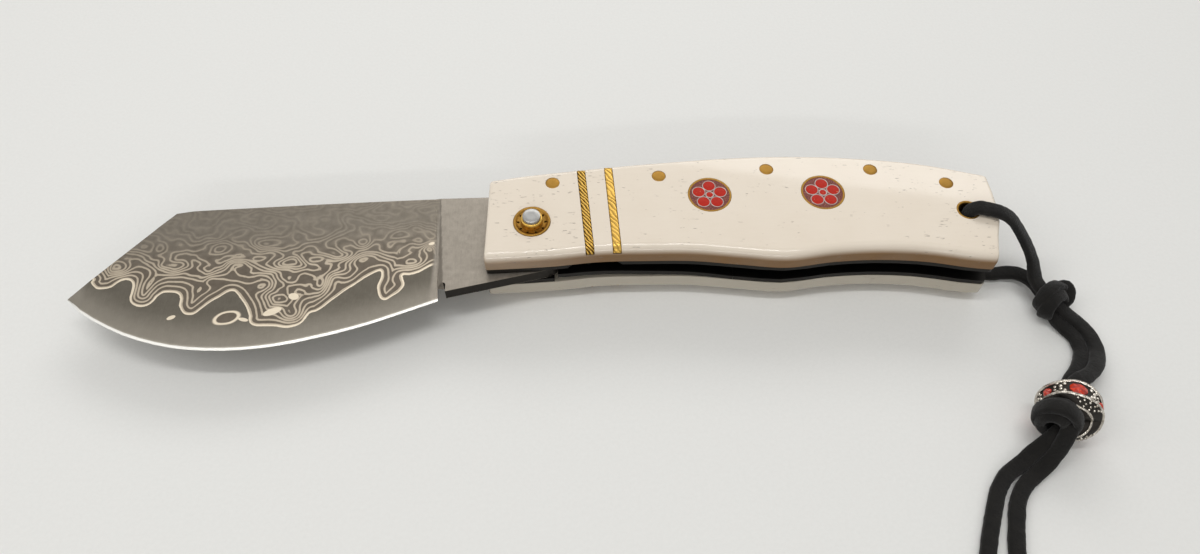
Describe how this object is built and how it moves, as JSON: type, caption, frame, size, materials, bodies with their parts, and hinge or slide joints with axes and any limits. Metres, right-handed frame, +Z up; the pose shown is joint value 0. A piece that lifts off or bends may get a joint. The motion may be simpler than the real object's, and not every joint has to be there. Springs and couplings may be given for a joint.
{
  "type": "folding skinning knife",
  "caption": "Folding knife with a broad clip-point blade, a liner lock, smooth scales with inlaid strips and mosaic pins, and a beaded wrist lanyard.",
  "frame": {"origin": "centre of the lower end of the pivot pin, which stands on the table", "axes": "+X from the pivot towards the butt, +Y from the belly towards the spine, +Z up through the handle's thickness, with the blade open along -X"},
  "size_m": [0.2262, 0.1005, 0.0189],
  "materials": {
    "bone": "polished ivory bone with short dark pores",
    "patterned_steel": "etched pattern-welded steel, with a polished edge",
    "liner_steel": "dark satin",
    "bright_steel": "polished",
    "brass": "polished",
    "bronze": "satin",
    "red_resin": "ground flush and polished",
    "black_suede": "matt suede",
    "dark_silver": "oxidised, bright on the high spots",
    "red_stone": "faceted"
  },
  "bodies": {
    "handle": {"backspacer": "liner_steel", "bead": "dark_silver", "big_stone_1": "red_stone", "big_stone_2": "red_stone", "big_stone_3": "red_stone", "lanyard_end_knot": "black_suede", "lanyard_inner_strand": "black_suede", "lanyard_knot": "black_suede", "lanyard_left_tail": "black_suede", "lanyard_lower_leg": "black_suede", "lanyard_outer_strand": "black_suede", "lanyard_right_tail": "black_suede", "lanyard_tube": "brass", "lanyard_upper_leg": "black_suede", "lower_collar": "brass", "lower_inlay_1": "brass", "lower_inlay_2": "brass", "lower_liner": "liner_steel", "lower_mosaic_filling_1": "red_resin", "lower_mosaic_filling_2": "red_resin", "lower_mosaic_flower_1": "bright_steel", "lower_mosaic_flower_2": "bright_steel", "lower_mosaic_tube_1": "brass", "lower_mosaic_tube_2": "brass", "lower_rosette": "brass", "lower_scale": "bone", "lower_washer": "bronze", "pivot_pin": "bright_steel", "scale_pin_1": "brass", "scale_pin_2": "brass", "scale_pin_3": "brass", "scale_pin_4": "brass", "small_stone_1": "red_stone", "small_stone_2": "red_stone", "small_stone_3": "red_stone", "stop_pin": "brass", "upper_collar": "brass", "upper_inlay_1": "brass", "upper_inlay_2": "brass", "upper_liner": "liner_steel", "upper_mosaic_filling_1": "red_resin", "upper_mosaic_filling_2": "red_resin", "upper_mosaic_flower_1": "bright_steel", "upper_mosaic_flower_2": "bright_steel", "upper_mosaic_tube_1": "brass", "upper_mosaic_tube_2": "brass", "upper_rosette": "brass", "upper_scale": "bone", "upper_washer": "bronze"},
    "blade": {"blade": "patterned_steel"},
    "lock_arm": {"lock_arm": "liner_steel"}
  },
  "joints": [
    {"name": "blade_pivot", "type": "hinge", "parent": "handle", "child": "blade", "pos_m": [0, 0, 0.00945], "axis": [0, 0, 1], "range_deg": [0, 165.5], "deforming": ["lock_arm"]},
    {"name": "lock_release", "type": "hinge", "parent": "handle", "child": "lock_arm", "pos_m": [0.045, 0, 0.00713], "axis": [0, -1, 0], "range_deg": [0, 2.1], "stiffness_Nm_per_rad": 0.05}
  ]
}
